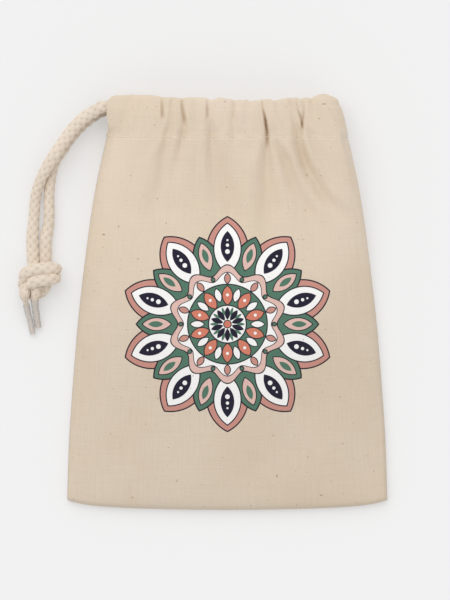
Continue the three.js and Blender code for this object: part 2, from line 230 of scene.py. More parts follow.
def noise(vector, scale, detail=2.0, roughness=0.5):
    inputs = {"Vector": vector, "Scale": scale, "Detail": detail, "Roughness": roughness}
    return addNode("TexNoise", inputs)[0]


def ramp(value, low, high, first=0.0, last=1.0):
    inputs = dict(enumerate((value, low, high, first, last)))
    return addNode("MapRange", inputs, interpolation_type="SMOOTHSTEP")[0]


def bump(height, strength, distance, normal=None):
    inputs = {"Strength": strength, "Distance": distance, "Height": height}
    if normal is not None:
        inputs["Normal"] = normal
    return addNode("Bump", inputs)[0]


def linear(*channels):
    # an sRGB colour from 0 to 255, as the shader's linear one
    shares = [value / 255 for value in channels]
    return (*(share / 12.92 if share <= 0.04045 else ((share + 0.055) / 1.055) ** 2.4 for share in shares), 1)


# cotton cord: a braided tube along each route
cord = {
    "diameter": 5.6,
    "carriers": 4,  # yarns each way round the braid
    "turnLength": 18,  # along the cord for one turn of a yarn
    "yarnLift": 0.44,  # how far a yarn stands above the gaps
    "weaveLift": 0.22,  # how far it passes over and under the others
    "sides": 60,
    "step": 0.3,
    # how much wider it lies just before the knot, and how much more at the slit and over the knot
    "pressed": 1.15, "slack": 0.18,
    "pressedRise": (42, 33), "pressedFall": (15, 22), "slitFrom": (60, 72),  # along Y
    "knotTop": (7.5, 10),  # along Z
    "strandShare": 0.6,  # of the route, before the knot closes
    "tailStart": 5.5, "tailRun": 8,  # along Y, where the end gets thin
    "flatten": 0.7,  # how much of that it loses in height
    "fibres": (9.0, 1.1),  # scale of the fibre pattern, across and along a yarn
    "colour": linear(233, 218, 201),
    "gapShadeColour": linear(182, 160, 136),
}

strandPointsA = [
    (-61.8, 97.3, 13.6), (-65.5, 95.4, 12), (-71.7, 91.5, 9.7), (-77.3, 85.8, 8.5), (-82.3, 78.9, 8.3),
    (-86.1, 73.1, 8.9), (-89.6, 67.7, 8.3), (-92.4, 62.5, 7), (-94.8, 56.3, 4.7), (-95.9, 51, 3.2),
    (-96.5, 43.9, 2.9), (-96.8, 39, 2.9), (-97.3, 32.9, 2.7), (-97.35, 28.4, 2.7), (-97.1, 24.5, 2.7),
]
strandPointsB = [
    (-61.8, 95.8, 5.6), (-65.5, 93.9, 5.6), (-71.5, 89.6, 4.6), (-75.6, 85.7, 3.4), (-79.4, 81.1, 2.9),
    (-82.8, 75.8, 2.9), (-85.8, 71.6, 2.9), (-87.4, 67, 2.9), (-88.4, 60.4, 2.9), (-89.1, 52.9, 2.9),
    (-88.9, 43.9, 2.9), (-89.3, 38.4, 2.9), (-90.4, 32.9, 2.7), (-90.8, 28.4, 2.7), (-90.7, 24.5, 2.7),
]
knotCentre = (-93.2, 11.4, 0.1)
# the pair of strands through the knot, from its centre, with half the step between the strands
knotPairPoints = [
    ((-0.7, 9.8, 2.9), (3.1, 0, 0)), ((-0.5, 8, 3.1), (3, 0, 0)), ((0, 4.8, 5), (2.7, 0, 0.2)),
    ((0.2, 0.4, 6.8), (2.4, -0.3, 0.2)), ((0.2, -3.6, 5.2), (2.0, -1.1, 0)), ((-1.8, -5.4, 3.4), (0.4, -2.0, -0.4)),
    ((-5.0, -5.2, 3.4), (-1.4, -2.0, -0.4)), ((-6.4, -3.2, 5.8), (-2.1, -0.4, -0.6)),
    ((-6.1, 0, 9.4), (-1.4, 2.4, 0)), ((-3.1, 1.7, 11.6), (-0.8, 2.7, 0)), ((1.5, 2.3, 12), (-0.5, 2.75, 0)),
    ((5.7, 2.6, 10.2), (-0.3, 2.5, 0.2)), ((7.9, 2.8, 6.6), (0.2, 2.3, 0)), ((5, 2, 3.4), (0.2, 2.3, 0)),
    ((0.8, 0.4, 3.4), (-0.6, 2.4, 0)), ((-3, -2.4, 6), (-2, 1.4, 0)), ((-5.0, -5, 7.7), (-2.8, -0.3, 0)),
    ((-5.2, -6.4, 7.9), (-2.8, 0, 0)),
]
tailPointsA = [(-95.6, 4.6, 8), (-96, 2.4, 7.8), (-96.2, -0.7, 6.7)]
tailPointsB = [(-101.2, 4.6, 8.9), (-101.2, 1.8, 8.5), (-100.4, -1.5, 6.4)]
tipPointsA = [(-95.4, -6.6, 4.3), (-94.55, -12.6, 2.1)]
tipPointsB = [(-98.6, -9, 3.3), (-97.15, -15.9, 1.7)]


def knotPoints(side):
    # side is -1 for strand A and 1 for strand B
    return [tuple(knotCentre[axis] + middle[axis] + side * half[axis] for axis in range(3))
            for middle, half in knotPairPoints]


def routeFrames(line):
    # a frame carried along the line without twisting
    tangent = np.gradient(line, axis=0)
    tangent /= np.linalg.norm(tangent, axis=1)[:, None]
    up = np.array([0, 0, 1.0])
    side = np.cross(tangent[0], up)
    side /= np.linalg.norm(side)
    sides = [side]
    for here in tangent[1:]:
        side = side - here * np.dot(side, here)
        side = side / np.linalg.norm(side)
        sides.append(side)
    sides = np.array(sides)
    return sides, np.cross(sides, tangent)


def braidRelief(around, along):
    # two crossing sets of yarns, each over one and under one; around is in turns, along in mm
    a = around * cord["carriers"]
    b = along * cord["carriers"] / cord["turnLength"]
    sets = []
    for phase, other, sign in ((a - b, a + b, 1), (a + b, a - b, -1)):
        across = phase - np.floor(phase) - 0.5
        weave = sign * np.cos(np.pi * np.floor(phase)) * np.cos(np.pi * (other - 0.5))
        crown = np.sqrt(np.clip(1 - (across / 0.5) ** 2, 0, 1))
        sets.append((cord["weaveLift"] * weave + cord["yarnLift"] * crown, across, other))
    (lift, across, run), (otherLift, otherAcross, otherRun) = sets
    first = lift >= otherLift
    # the second set's fibres are moved on by 3, so that they aren't the first one's
    return (np.where(first, lift, otherLift), np.where(first, across, otherAcross + 3),
            np.where(first, run, otherRun))


def braidedTube(name, line, radii, sides, pressed=1.0):
    # line in mm; a closed tube whose surface is the braid itself; pressed makes it wider and lower
    tangentSide, tangentUp = routeFrames(line)
    around, runs = np.meshgrid(np.arange(sides) / sides, runAlong(line))
    shrink = (radii / (cord["diameter"] / 2))[:, None]
    lift, across, yarnRun = braidRelief(around, runs / np.maximum(shrink, 0.6))
    top = cord["yarnLift"] + cord["weaveLift"]
    radius = (cord["diameter"] / 2 - top + np.maximum(lift, -0.1)) * shrink
    angle = 2 * np.pi * around
    wide = np.ones(len(line)) * pressed
    form = np.stack([wide, wide, wide ** -cord["flatten"]], axis=1)[:, None, :]
    points = line[:, None, :] + form * ((radius * np.cos(angle))[:, :, None] * tangentSide[:, None, :]
                                        + (radius * np.sin(angle))[:, :, None] * tangentUp[:, None, :])
    rings = len(line)
    points = np.vstack([points.reshape(-1, 3) * mm, line[:1] * mm, line[-1:] * mm])
    faces = gridFaces(rings, sides, closed=True)
    last = (rings - 1) * sides
    for side in range(sides):  # the two ends, each round its own middle point
        after = (side + 1) % sides
        faces += [(after, side, rings * sides), (last + side, last + after, rings * sides + 1)]
    piece = makeMesh(name, points, faces)
    for key, values in (("yarnLift", lift / top), ("yarnAcross", across), ("yarnRun", yarnRun)):
        addAttribute(piece, key, np.append(values.ravel(), [0.0, 0.0]))
    faceOutward(piece)
    return piece


def cordMaterial():
    material, shader = newMaterial("cotton_cord")
    place = addNode("TexCoord")["Object"]
    axes = {axis: calc("MULTIPLY", attributeOf(key), cord["fibres"][axis])
            for axis, key in enumerate(("yarnAcross", "yarnRun"))}
    fibres = noise(addNode("CombineXYZ", axes)[0], 2.2, 3.0, 0.6)
    fuzz = noise(place, 2600, 3.0, 0.65)
    patches = noise(place, 130)
    # painted shade: the gaps between the yarns take a darker colour
    depth = ramp(attributeOf("yarnLift"), -0.25, 0.8)
    colour = mixColour(depth, cord["gapShadeColour"], cord["colour"])
    tone = total(ramp(fibres, 0.3, 0.7, 0.9, 1.03), ramp(patches, 0.3, 0.7, -0.025, 0.025))
    feed(shader, {
        "Base Color": shaded(colour, tone), "Roughness": 0.9, "Sheen Weight": 0.15,
        "Specular IOR Level": 0.25,
        "Normal": bump(fibres, 0.5, 0.00035, bump(fuzz, 0.35, 0.00025)),
    })
    return material


# the bag's own shape, with the sizes of its CAD source, in mm
bag = {
    "bottomWidth": 160, "mouthWidth": 120.4, "pouchLength": 181, "bottomBow": 5, "hemDepth": 22.15,
    "casingHalf": 4.3, "stitchHalf": 1.15, "mouthGap": 6.2, "mouthShoulder": 0.3,
    "slitGap": 0.8, "turnGap": 3, "foldDepth": 1.6, "pleatRise": 0.8, "creaseWidth": 2, "foldSpread": 5,
    "restLift": 0.3, "edgeHeight": 2.6, "seamHeight": 1.3, "edgeRound": 2.0,
    "crestHalf": 3.9,  # over the cord; from here on the cloth's own easier form
    "stitchRise": 3.9, "slitShare": 0.3,  # how much the cloth stands up at the stitches, and its share at the slit
    "puff": 1.6, "bottomPuff": 0.5,  # how much fuller the edges are than the CAD's
    "evenFall": 0.35,  # how straight the casing falls from the cord to the stitches
    "seamRise": 7.5,  # the side seams climb to the mouth's ends
}
bottomY = -(bag["bottomBow"] + bag["pouchLength"] + bag["hemDepth"]) / 2
cornerY = bottomY + bag["bottomBow"]
stitchY = cornerY + bag["pouchLength"]
topY = stitchY + bag["hemDepth"]
halfMouth = bag["mouthWidth"] / 2
openLevel = bag["restLift"] + 2 * bag["casingHalf"] + bag["mouthGap"]
crownHeight = openLevel + 2 * bag["stitchHalf"]

# shares along the pouch, from its bottom edge up: of the flare and of the crown's height
flareTable = [(0, 1), (0.17, 0.95), (0.33, 0.85), (0.5, 0.72), (0.66, 0.55), (0.83, 0.33), (0.94, 0.13), (1, 0)]
crownTable = [
    (0, 0), (0.02, 0.14), (0.06, 0.28), (0.13, 0.4), (0.25, 0.55), (0.45, 0.75), (0.65, 0.9), (0.85, 1), (1, 1),
]
# the top fold's height, from left to right, with its small scallops at the pleats
topEdgeTable = [
    (-58.4, 102.3), (-56.4, 102.9), (-52.4, 103), (-48.4, 103.3), (-44.4, 103.1), (-40, 103.05), (-36.3, 102.75),
    (-34, 102.35), (-32.2, 101.9), (-30.2, 101.85), (-27, 101.95), (-24.2, 101.5), (-22.4, 101.35), (-20.4, 101.65),
    (-15.1, 101.85), (-11.5, 101.75), (-9.6, 101.6), (-8.4, 100.8), (-7.2, 100.6), (-5.1, 101), (-3, 101.7),
    (-0.8, 101.65), (1.4, 101.2), (3.6, 101), (5.8, 100.4), (8, 100.7), (10.2, 100.4), (12.5, 100.8), (14.8, 99.8),
    (17.1, 100.5), (19.4, 100.4), (21, 100.8), (23, 100.85), (25.4, 101.1), (26.6, 100.75), (28, 100.25),
    (30.3, 100.5), (32.8, 100.9), (35.3, 101.4), (37.8, 101.7), (40.4, 101.55), (42.5, 101.75), (44.4, 101.25),
    (45.8, 100.8), (47.1, 101.5), (48.5, 101.8), (50.6, 101.7), (52.7, 101.3), (54.2, 101.6), (56.4, 102.6),
    (57.3, 103.1), (58, 103.4), (58.7, 103.6), (59.6, 103.7), (60.7, 103.6), (62.1, 103.4),
]
# a place in the casing is 0 at the top fold, 1 over the cord and 2 at the stitches
cordPlaceTable = [(0, 0.31), (0.2, 0.38), (0.8, 0.38), (1, 0.35)]
sideLeftTable = [(0, 0.963), (0.1, 0.968), (0.35, 0.985), (0.8, 1.0), (1.3, 0.997), (2, 0.972)]
sideRightTable = [(0, 0.83), (0.2, 0.888), (0.8, 0.935), (1.3, 0.971), (2, 1)]
frontSwellTable = [(0, 0), (0.01, 0.34), (0.03, 0.62), (0.06, 0.8), (0.12, 0.92), (0.25, 0.98), (0.5, 1), (1, 1)]
swellTable = [
    (0, 0), (0.015, 0.2), (0.06, 0.37), (0.14, 0.51), (0.28, 0.66), (0.6, 0.88), (1, 1), (1.27, 0.82), (1.59, 0.43),
    (1.85, 0.11), (2, 0),
]
pleatTable = [  # at, drift, reach, depth, as in the CAD source
    (-0.51, -0.14, 0.45, 0.6), (-0.375, -0.2, 0.45, 0.7), (-0.135, 0.07, 0.6, 0.75),
    (0.056, 0, 0.2, 0.4), (0.33, -0.06, 0.6, 1), (0.605, 0.33, 0.75, 0.9),
]


def outerHalf(place):
    swell = readCurve(swellTable, place)
    return np.where(place <= 1, swell * bag["casingHalf"], mix(bag["stitchHalf"], bag["casingHalf"], swell))


def stitchCrest(along):
    # the front cloth's upper face at the stitches, lower at the slit
    rise = bag["stitchRise"] * mix(bag["slitShare"], 1, smooth(0, 0.1, along))
    return frontMiddle(along, np.full_like(along, 2.0)) + bag["stitchHalf"] + rise


def crestHeight(along, place):
    # the front casing's upper face: a rounded fold, level over the cord, then an even fall to the stitches
    one = np.ones_like(along)
    fall = np.clip(place - 1, 0, 1)
    fall = mix(smooth(0, 1, fall), fall, bag["evenFall"])
    over = mix(frontMiddle(along, one) + bag["crestHalf"], stitchCrest(along), fall)
    rise = readCurve(frontSwellTable, np.minimum(place, 1)) * bag["crestHalf"]
    return np.where(place <= 1, frontMiddle(along, place) + rise, over)


def seatHalf(place):
    return np.where(place <= 1, bag["casingHalf"], outerHalf(place))


def endRise(place):
    return bag["seamRise"] * smooth(1, 2, place)


def seamLift(up):
    return bag["seamRise"] * smooth(0.5, 1, up)


def casingLeft(place):
    return -readCurve(sideLeftTable, place) * halfMouth


def casingRight(place):
    return readCurve(sideRightTable, place) * halfMouth - bag["turnGap"] / 2 - seatHalf(place) - outerHalf(place)


stitchLeft = float(casingLeft(np.array(2.0)))
stitchRight = float(casingRight(np.array(2.0)))


def casingX(along, place):
    straight = mix(stitchLeft, stitchRight, along)
    left = (casingLeft(place) - stitchLeft) * (1 - along) ** 3
    return straight + left + (casingRight(place) - stitchRight) * along ** 3


def casingY(along, place):
    fold = (topY - readCurve(topEdgeTable, mix(stitchLeft, stitchRight, along))) / bag["hemDepth"]
    fold = np.clip(fold, 0.01, 0.2)
    cordDepth = readCurve(cordPlaceTable, along)
    depth = np.where(place <= 1, mix(fold, cordDepth, place), mix(cordDepth, 1, place - 1))
    return topY - depth * bag["hemDepth"]


def frontMiddle(along, place):
    closed = bag["restLift"] + 2 * seatHalf(place) + mix(bag["slitGap"], bag["turnGap"], along) + endRise(place)
    shoulder = bag["mouthShoulder"]
    opened = smooth(0, shoulder, along) * smooth(0, shoulder, 1 - along)
    return mix(closed, openLevel, opened) + seatHalf(place)


def gatherShare(x, below):
    hollow = np.zeros_like(x)
    for at, drift, reach, depth in pleatTable:
        run = np.clip(below / (reach * bag["pouchLength"]), 0, 1)
        middle = (at + drift * run) * halfMouth
        width = bag["creaseWidth"] + bag["foldSpread"] * run
        hollow = np.maximum(hollow, depth * (1 - run) ** 1.2 * np.exp(-(((x - middle) / width) ** 2)))
    return (1 - hollow) * (1 - np.clip(np.abs(x) / halfMouth, 0, 1) ** 8)


def panelHalf(up):
    return mix(halfMouth, bag["bottomWidth"] / 2, readCurve(flareTable, up))


def panelY(across, up):
    bow = bag["bottomBow"] * (1 - 0.5 * across**2 - 0.5 * np.abs(across) ** 10)
    return mix(cornerY - bow, stitchY, up)


def frontHeight(across, up):
    below = (1 - up) * bag["pouchLength"]
    along = np.clip((across + 1) * halfMouth / (stitchRight + halfMouth), 0, 1)
    seam = smooth(0.93, 1, np.abs(across))
    edge = bag["edgeHeight"] + bag["puff"] + bag["bottomPuff"] * smooth(0.08, 0, up) + seamLift(up)
    stitchTop = mix(stitchCrest(along), edge, seam)
    dome = 1 - np.abs(across) ** mix(3.5, 14, up**2)
    bodyTop = edge + (crownHeight - edge) * readCurve(crownTable, up) * dome
    fade = up**2 * (1 - np.abs(across) ** 8)
    folds = bag["foldDepth"] * gatherShare(across * panelHalf(up), below) * fade
    return mix(bodyTop, stitchTop, np.clip((up - 0.8) / 0.2, 0, 1) ** 1.35) + folds


def cordPlace(share, front=True):
    # a place of the cord inside the front or the rear casing
    along, one = np.array(share), np.array(1.0)
    height = float(frontMiddle(along, one)) if front else bag["restLift"] + bag["casingHalf"]
    return (float(casingX(along, one)), float(casingY(along, one)), height)


def isStrand(line):
    return np.arange(len(line)) <= len(line) * cord["strandShare"]


def routeRadii(line, tipRadius):
    # full thickness, then squeezed from the knot's end into the tape
    tail = smooth(cord["tailStart"], cord["tailStart"] - cord["tailRun"], line[:, 1]) * ~isStrand(line)
    return mix(cord["diameter"] / 2, tipRadius, tail)


def routePressed(line):
    # the two strands lie wider where they press on each other before the knot
    y, z = line[:, 1], line[:, 2]
    near = smooth(*cord["pressedRise"], y) * smooth(*cord["pressedFall"], y) * isStrand(line)
    atSlit = smooth(*cord["slitFrom"], y) * isStrand(line)
    inKnot = smooth(*cord["knotTop"], z) * ~isStrand(line)
    return mix(1.0, cord["pressed"], near) + cord["slack"] * np.maximum(atSlit, inKnot)


# the two cords: slit, strand, knot, tail and taped end, each on one route
routeA, routeB = [
    ease(smoothRoute([cordPlace(0.07, front), cordPlace(0.03, front), *strand, *knotPoints(side), *tail, *tip],
                     cord["step"]), 6)
    for front, strand, side, tail, tip in ((True, strandPointsA, -1, tailPointsA, tipPointsA),
                                           (False, strandPointsB, 1, tailPointsB, tipPointsB))]
cordLook = cordMaterial()
for name, route, tipRadius in (("cord_a", routeA, 1.25), ("cord_b", routeB, 1.0)):
    piece = braidedTube(name, route, routeRadii(route, tipRadius), cord["sides"], routePressed(route))
    piece.data.materials.append(cordLook)
    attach(piece, "root")
    print(f"{name}: {runAlong(route)[-1]:.1f} mm long, {len(piece.data.polygons)} faces")

# the stretch inside the casing, which shows only at the slit
turnMiddle = bag["restLift"] + 2 * bag["casingHalf"] + bag["turnGap"] / 2
turnReach = bag["turnGap"] / 2 + bag["casingHalf"]
turnX = float(casingRight(np.array(1.0)))
turnRoute = [
    (turnX + turnReach * math.cos(angle), cordPlace(1, False)[1], turnMiddle + turnReach * math.sin(angle))
    for angle in (math.pi * share for share in (0.33, 0.17, 0, -0.17, -0.33))]
frontShares = (0.07, 0.1, 0.14, 0.2, 0.35, 0.5, 0.65, 0.8, 0.86, 0.92, 0.97, 1)
rearShares = (1, 0.97, 0.8, 0.6, 0.4, 0.2, 0.1, 0.07)
insideRoute = ease(smoothRoute([cordPlace(share) for share in frontShares] + turnRoute
                               + [cordPlace(share, False) for share in rearShares], 0.9), 2)
casingCord = braidedTube("casing_cord", insideRoute, np.full(len(insideRoute), cord["diameter"] / 2), 28)
casingCord.data.materials.append(cordLook)
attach(casingCord, "root")
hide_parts("drawstring_run")
print("cords made")


# clear tape sleeves on the two ends
tape = {
    "wall": 0.16,
    "bevel": 0.05,
    "sides": 28,
    "colour": linear(244, 240, 236),
    "wrapColour": linear(222, 216, 211),
    "edgeShadeColour": linear(150, 142, 138),
    "sleeves": [  # at each station its middle and its radius
        {"name": "sleeve_a",
         "stations": [(-96.15, 0.9, 7.35), (-95.95, -2.6, 6.0), (-95.4, -6.6, 4.3), (-94.95, -9.9, 3.05),
                      (-94.5, -12.9, 2.05)],
         "radii": [1.92, 1.74, 1.62, 1.6, 1.6]},
        {"name": "sleeve_b",
         "stations": [(-100.4, -1.5, 6.4), (-99.8, -4.6, 5.1), (-98.6, -9, 3.3), (-97.9, -12.5, 2.45),
                      (-97.1, -16.2, 1.7)],
         "radii": [1.6, 1.46, 1.36, 1.33, 1.33]},
    ],
}


def tapeMaterial():
    material, shader = newMaterial("clear_tape")
    place = addNode("TexCoord")["Object"]
    wrap = noise(stretched(place, (1, 0.12, 1)), 2600)
    smear = noise(place, 500)
    # painted shade: the sleeve's edges, where it turns away from the view, take a darker colour
    rim = addNode("LayerWeight", {"Blend": 0.35})["Facing"]
    pale = mixColour(ramp(wrap, 0.35, 0.65), tape["wrapColour"], tape["colour"])
    feed(shader, {
        "Base Color": mixColour(rim, pale, tape["edgeShadeColour"]),
        "Roughness": ramp(smear, 0.3, 0.7, 0.1, 0.26), "Alpha": 0.34, "IOR": 1.47,
        "Normal": bump(wrap, 0.4, 0.0003),
    })
    return material


def makeSleeve(settings, look):
    # a ring is extruded from station to station, then given the tape's wall
    stations = np.array(settings["stations"]) * mm
    radii = np.array(settings["radii"]) * mm
    first = stations[1] - stations[0]
    tilt = math.atan2(math.hypot(first[0], first[1]), first[2])
    heading = math.atan2(first[1], first[0])
    bpy.ops.mesh.primitive_circle_add(vertices=tape["sides"], radius=radii[0], fill_type="NOTHING",
                                      location=stations[0], rotation=(0, tilt, heading))
    piece = bpy.context.object
    piece.name = settings["name"]
    bpy.ops.object.transform_apply(location=True, rotation=True, scale=True)
    bpy.ops.object.mode_set(mode="EDIT")
    bpy.ops.mesh.select_all(action="SELECT")
    for order in range(1, len(stations)):
        share = radii[order] / radii[order - 1]
        stride = stations[order] - stations[order - 1]
        bpy.ops.mesh.extrude_region_move(TRANSFORM_OT_translate={"value": tuple(stride)})
        bpy.ops.transform.resize(value=(share, share, share), center_override=tuple(stations[order]))
    bpy.ops.object.mode_set(mode="OBJECT")
    faceOutward(piece)
    wall = piece.modifiers.new("wall", "SOLIDIFY")
    wall.thickness = tape["wall"] * mm
    wall.offset = 1
    edge = piece.modifiers.new("edge", "BEVEL")
    edge.width = tape["bevel"] * mm
    edge.segments = 2
    edge.limit_method = "ANGLE"
    for modifier in [m.name for m in piece.modifiers]:
        bpy.ops.object.modifier_apply(modifier=modifier)
    bpy.ops.object.shade_smooth_by_angle(angle=math.radians(50))
    piece.data.materials.append(look)
    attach(piece, "root")
    return piece


tapeLook = tapeMaterial()
sleeveA, sleeveB = [makeSleeve(settings, tapeLook) for settings in tape["sleeves"]]
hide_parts("strand_a", "knot", "tail_a")
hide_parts("strand_b", "tail_b")
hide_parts("tip_a")
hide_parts("tip_b")


# the cloth's furrows, as seen from above: x, y, half width and depth at places along each one
creases = [
    # narrow ones in the casing, with painted brown shade inside; the fifth is the deepest, the last two meet in a V
    [(-32.7, 103.5, 0.7, 0.2), (-32.6, 100.5, 0.55, 0.6), (-32.4, 97, 0.6, 1.3), (-32.3, 93, 0.65, 1.4),
     (-32.2, 91, 0.8, 0.3), (-32, 89, 1, 0)],
    [(-23, 103, 0.8, 0.3), (-22.7, 100.5, 0.6, 0.8), (-22.3, 96, 0.65, 1.4), (-21.6, 92, 0.75, 1.6),
     (-21.1, 89, 0.9, 0.9), (-21, 86, 1.2, 0)],
    [(-9.9, 102.5, 0.6, 0.2), (-9.9, 98.5, 0.5, 0.6), (-9.9, 96, 0.6, 1.3), (-9.8, 92.5, 0.7, 1.1),
     (-9.7, 90, 0.9, 0.2), (-9.6, 87, 1.2, 0)],
    [(3.5, 102, 0.8, 0.2), (3.4, 98, 0.6, 0.5), (3.3, 93, 0.7, 0.5), (3.2, 89, 1, 0)],
    [(17.1, 102, 0.6, 0.25), (17.4, 99, 0.5, 0.6), (17.8, 96, 0.45, 0.8), (18.3, 94, 0.5, 1.7),
     (19.1, 90, 0.58, 2.4), (19.6, 86, 0.62, 2.2), (19.9, 82, 0.7, 1.6), (20, 79, 0.75, 1.3),
     (20, 75.5, 1, 0.3), (20, 73, 1.4, 0)],
    [(33.9, 101.5, 0.6, 0.3), (34.6, 98.5, 0.5, 0.7), (35.6, 94.5, 0.5, 1.2), (36.7, 91.5, 0.6, 1.5),
     (37.2, 88.5, 0.6, 1.4), (37.4, 85.5, 0.8, 0.6), (37.4, 82.5, 1, 0)],
    [(37.4, 101.5, 0.6, 0.3), (38, 98, 0.5, 0.6), (38.3, 95, 0.5, 0.9), (37.8, 91.5, 0.6, 1.3),
     (37.4, 88, 0.6, 0.9), (37.4, 85, 0.9, 0.4), (37.4, 82.5, 1.1, 0)],
]
folds = [
    # soft ones that run on below the creases
    [(-27.6, 102, 0.8, 0.4), (-27.7, 96, 0.9, 0.5), (-27.9, 90, 1.2, 0.45), (-28.8, 80, 2.2, 0.5),
     (-31.4, 72.3, 3.2, 0.6), (-33.8, 56, 4.2, 0.5), (-36, 42, 5, 0)],
    [(-21.4, 88, 1.3, 0.1), (-21.2, 83.3, 2, 0.4), (-23.7, 74.8, 2.9, 0.45), (-26.6, 64.8, 3.6, 0.3),
     (-29.6, 55, 4.2, 0)],
    [(-8.6, 92, 1.3, 0), (-7.8, 86, 2.2, 0.35), (-6, 77.3, 3.4, 0.75), (-2.6, 62.3, 4.2, 1.15),
     (2.2, 45.8, 5, 0.95), (6, 30, 6, 0)],
    [(3.2, 88, 1.4, 0.2), (3, 80, 2.4, 0.2), (3.5, 70, 3.4, 0)],
    [(20, 84, 1.2, 0.1), (20.4, 76, 2.6, 0.55), (20.2, 67.3, 3.8, 0.8), (20.4, 58.3, 4.4, 0.8),
     (21.4, 47.3, 5.2, 0.65), (21.8, 36, 6, 0.35), (22, 25, 7, 0)],
    [(22.5, 84, 1.2, 0), (25.2, 77.1, 2.1, 0.8), (28.8, 70.8, 2.6, 1.1), (33, 58.3, 3.4, 1),
     (38.4, 45.8, 4.2, 0.6), (42.4, 34, 5.4, 0)],
    [(33.4, 90, 1.2, 0.1), (34.1, 85.9, 1.7, 0.6), (35.4, 78.4, 2.3, 1), (40, 67.1, 3, 1.45),
     (47.4, 53.4, 3.7, 1.35), (53.6, 45.9, 4.2, 0.8), (59, 38, 5.4, 0)],
    [(39.8, 88, 1.4, 0), (41.4, 83.1, 1.9, 0.4), (45, 74, 2.8, 0.5), (50, 64, 3.6, 0.3), (56, 52, 4.4, 0)],
    # small ones between them, mostly in the casing
    [(-48, 103.5, 2.2, 0.2), (-50, 96, 2, 0.25), (-51.5, 90, 2.2, 0.3), (-52.5, 84, 2.4, 0.15),
     (-53, 76, 3, 0)],
    [(-16, 102, 1.6, 0.15), (-15.4, 95, 1.6, 0.2), (-15, 88, 1.8, 0.1), (-15, 82, 2, 0)],
    [(9.8, 101, 0.9, 0.25), (9.9, 96, 1.2, 0.2), (10, 89, 1.6, 0.15), (10.5, 80, 2.2, 0)],
    [(24.6, 101, 0.9, 0.3), (25, 97, 1, 0.25), (25.6, 92, 1.3, 0.15), (26, 85, 1.8, 0)],
    [(30.6, 101.5, 0.7, 0.25), (32.6, 97, 0.9, 0.3), (34.6, 93, 1.3, 0.15), (35.6, 89, 1.6, 0)],
    [(42, 102, 0.9, 0.35), (42.4, 98.5, 1, 0.3), (43, 94, 1.4, 0.15), (43.5, 88, 1.8, 0)],
    # the slack of the pouch: one long hollow towards the lower right, and a faint one at the left
    [(57, 12, 8, 0), (54.4, -8, 10, 0.2), (52, -22, 11, 0.4), (46.4, -36.7, 12, 0.55), (41, -51.7, 13, 0.6),
     (33, -66, 14, 0.5), (22, -80.2, 17, 0.35), (12, -92, 20, 0.2), (4, -103, 22, 0.05)],
    [(-50, -8, 8, 0), (-44, -28, 9, 0.15), (-36, -48, 11, 0.15), (-24, -66, 13, 0.1), (-14, -84, 15, 0)],
]


def furrows(table, x, y, shoulder=0.0):
    # depth at each place, with the cloth pushed up beside every furrow by the shoulder's share
    depthHere = np.zeros_like(x)
    for line in table:
        lx, ly, width, depth = np.array(sorted(line, key=lambda row: row[1])).T
        deep = np.interp(y, ly, depth, left=0, right=depth[-1])
        away = np.abs(x - np.interp(y, ly, lx)) / np.interp(y, ly, width)
        depthHere += deep * (np.exp(-away ** 1.8) - shoulder * np.exp(-((away - 2.0) ** 2) / 0.9))
    return depthHere


def foldField(x, y):
    return (furrows(creases, x, y, sheet["creaseShoulder"])
            + sheet["foldScale"] * furrows(folds, x, y, sheet["foldShoulder"]))


def ripples(x, y, scale, seed):
    # broad soft unevenness, the same on every run
    spread = random.Random(seed)
    height = np.zeros_like(x)
    for _ in range(14):
        heading = spread.uniform(0, 2 * math.pi)
        wave = 2 * math.pi / (scale * spread.uniform(0.6, 1.8))
        phase = spread.uniform(0, 2 * math.pi)
        height += np.sin(wave * (x * math.cos(heading) + y * math.sin(heading)) + phase)
    return height / 14


# the sheets: pouch, casing, top fold and the turned-in side of the hem in one cloth
sheet = {
    "wall": 0.62,
    # steps of the grid; the back cloth's are coarser
    "evenStep": 0.8, "fineStep": 0.3, "creaseReach": 2.8, "turnColumns": 22, "coarseStep": 1.5, "coarseTurns": 14,
    "creasesAt": (-32.2, -22.3, -9.8, 3.4, 19.2, 37.2),
    "pouchRipple": (0.35, 34, 5), "casingRipple": (0.16, 11, 8),  # height, scale and seed
    "creaseShoulder": 0.12, "foldShoulder": 0.42,
    "stitchDip": 0.3, "stitchHalf": 0.6,  # depth and half width of the groove that the stitches pull
    "backRise": 0.36, "backHalf": 1.2,  # height and half width of the rear cloth's lift at its stitches
    "backMouthReach": 7,  # how far the rear cloth's edge is rounded at the mouth
    "hemDrop": 1.3,  # from the pouch's cloth to the hem's inner layer
    "hemGap": 1.2,  # the least between the hem's two layers
    "creaseLimits": (1.3, 5),  # how deep a furrow can get over the cord and below it
    "turnRise": 0.75,  # how much of the side seam's climb is left at the turn
    "turnRun": 0.05,  # how far the top fold's table runs on round the turn
    # painted shade along the cloth's outline and at the top fold, and its half width there
    "rimShade": 0.03, "rimHalf": 0.9,
    "creaseDeep": 2.3,  # the depth at which a crease's painted shade is full
    "foldScale": 1.9,
    "foldShade": 0.05,  # painted warm shade in the soft furrows
}


def columnPlaces(fine):
    # across the stitch line: close together at the creases
    places = [-halfMouth, -halfMouth + 0.3, -halfMouth + 0.7]
    here = -halfMouth + 1.2
    while here < stitchRight - 0.3:
        places.append(here)
        near = min(abs(here - crease) for crease in sheet["creasesAt"])
        step = sheet["fineStep"] if near < sheet["creaseReach"] else sheet["evenStep"]
        here += step if fine else sheet["coarseStep"]
    turns = sheet["turnColumns"] if fine else sheet["coarseTurns"]
    return np.array(places + list(np.linspace(stitchRight, halfMouth, turns + 1)))


